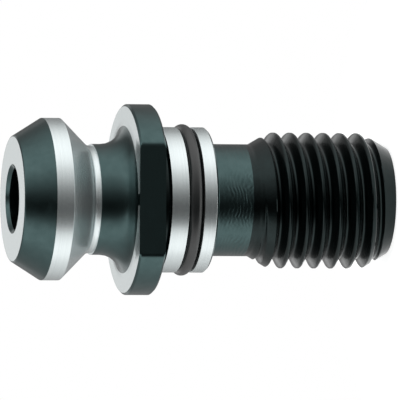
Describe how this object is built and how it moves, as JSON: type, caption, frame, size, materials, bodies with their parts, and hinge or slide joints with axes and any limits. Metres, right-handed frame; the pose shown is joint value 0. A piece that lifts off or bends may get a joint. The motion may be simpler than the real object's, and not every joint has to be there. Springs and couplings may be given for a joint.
{
  "type": "pull stud",
  "caption": "Pull stud for a tool holder's taper: a bevelled head with a gripping cone, a neck, a flange with wrench flats, a sealed pilot, a threaded shank and a coolant bore",
  "frame": {"origin": "centre of the flange's seating face, where the axis crosses it", "axes": "+Z along the axis from the threaded shank to the gripper head, +X and -X across the axis between the two wrench flats, +Y and -Y out of the wrench flats"},
  "size_m": [0.0222, 0.019, 0.0445],
  "materials": {
    "black_oxide_steel": "gloss",
    "seal_rubber": "satin"
  },
  "bodies": {
    "root": {"stud_body": "black_oxide_steel", "o_ring": "seal_rubber"}
  },
  "joints": []
}
